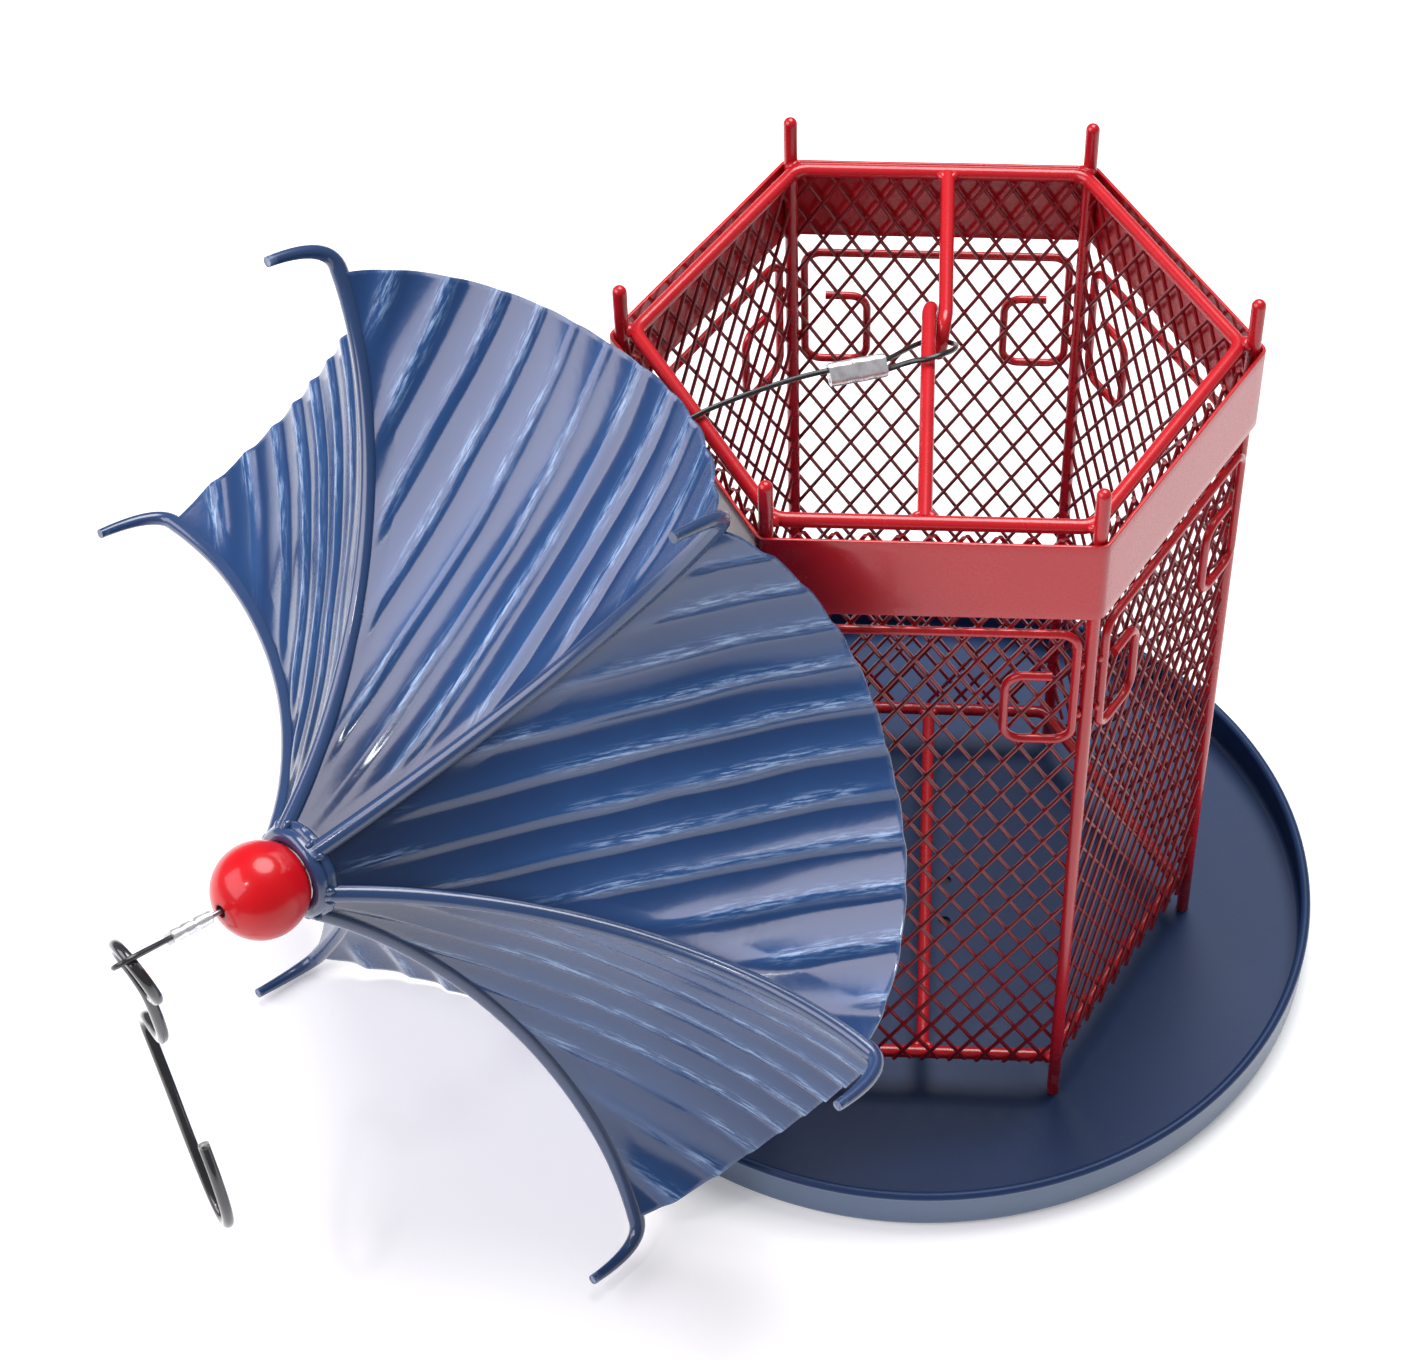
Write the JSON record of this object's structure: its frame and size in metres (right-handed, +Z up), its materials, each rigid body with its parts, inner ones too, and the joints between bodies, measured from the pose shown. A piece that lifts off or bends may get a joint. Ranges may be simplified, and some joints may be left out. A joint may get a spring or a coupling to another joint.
{
  "type": "hanging bird feeder",
  "caption": "Hanging bird feeder: a hexagonal wire mesh cage on a round tray, and a pagoda roof on a steel cable with a hook. The roof lies beside the cage.",
  "frame": {"origin": "centre of the tray's underside, on the surface that the feeder stands on", "axes": "+Z up along the cage's axis, +X and -X towards two corners of the cage, -Y towards the face that looks at the camera"},
  "size_m": [0.3751, 0.307, 0.2727],
  "materials": {
    "red_powder_coat": "semi gloss powder coat",
    "blue_powder_coat": "semi gloss powder coat",
    "ball_red": "gloss",
    "zinc_screw": "zinc plated",
    "ferrule_metal": "bright",
    "cable_black": "black coated steel cable",
    "hook_black": "gloss"
  },
  "bodies": {
    "feeder": {"tray": "blue_powder_coat", "post_1": "red_powder_coat", "post_2": "red_powder_coat", "post_3": "red_powder_coat", "post_4": "red_powder_coat", "post_5": "red_powder_coat", "post_6": "red_powder_coat", "post_screw_1": "zinc_screw", "post_screw_2": "zinc_screw", "post_screw_3": "zinc_screw", "post_screw_4": "zinc_screw", "post_screw_5": "zinc_screw", "post_screw_6": "zinc_screw", "top_ring": "red_powder_coat", "bottom_ring": "red_powder_coat", "top_cross_bar": "red_powder_coat", "bottom_cross_bar": "red_powder_coat", "top_band": "red_powder_coat", "mesh_panel_1": "red_powder_coat", "mesh_panel_2": "red_powder_coat", "mesh_panel_3": "red_powder_coat", "mesh_panel_4": "red_powder_coat", "mesh_panel_5": "red_powder_coat", "mesh_panel_6": "red_powder_coat", "fret_wire_1": "red_powder_coat", "fret_wire_2": "red_powder_coat", "fret_wire_3": "red_powder_coat", "fret_wire_4": "red_powder_coat", "fret_wire_5": "red_powder_coat", "fret_wire_6": "red_powder_coat", "hanging_cable": "cable_black", "lower_ferrule": "ferrule_metal"},
    "roof": {"roof_rib_1": "blue_powder_coat", "roof_rib_2": "blue_powder_coat", "roof_rib_3": "blue_powder_coat", "roof_rib_4": "blue_powder_coat", "roof_rib_5": "blue_powder_coat", "roof_rib_6": "blue_powder_coat", "roof_panel_1": "blue_powder_coat", "roof_panel_2": "blue_powder_coat", "roof_panel_3": "blue_powder_coat", "roof_panel_4": "blue_powder_coat", "roof_panel_5": "blue_powder_coat", "roof_panel_6": "blue_powder_coat", "roof_collar": "blue_powder_coat", "upper_ferrule": "ferrule_metal"},
    "ball": {"finial_ball": "ball_red"},
    "hook": {"hook": "hook_black"}
  },
  "joints": [
    {"name": "roof_lift", "type": "hinge", "parent": "feeder", "child": "roof", "pos_m": [-0.05783, 0.09614, 0.19831], "axis": [-0.853, 0.3453, 0.3912], "range_deg": [0, 87.13], "deforming": ["hanging_cable"]},
    {"name": "ball_slide", "type": "slide", "parent": "roof", "child": "ball", "axis": [-0.6619, -0.7236, 0.1954], "range_m": [0, 0.003]},
    {"name": "hook_swing", "type": "hinge", "parent": "roof", "child": "hook", "pos_m": [-0.20517, -0.15464, 0.16159], "axis": [-0.6665, 0.7455, 0], "range_deg": [-20, 100]}
  ]
}
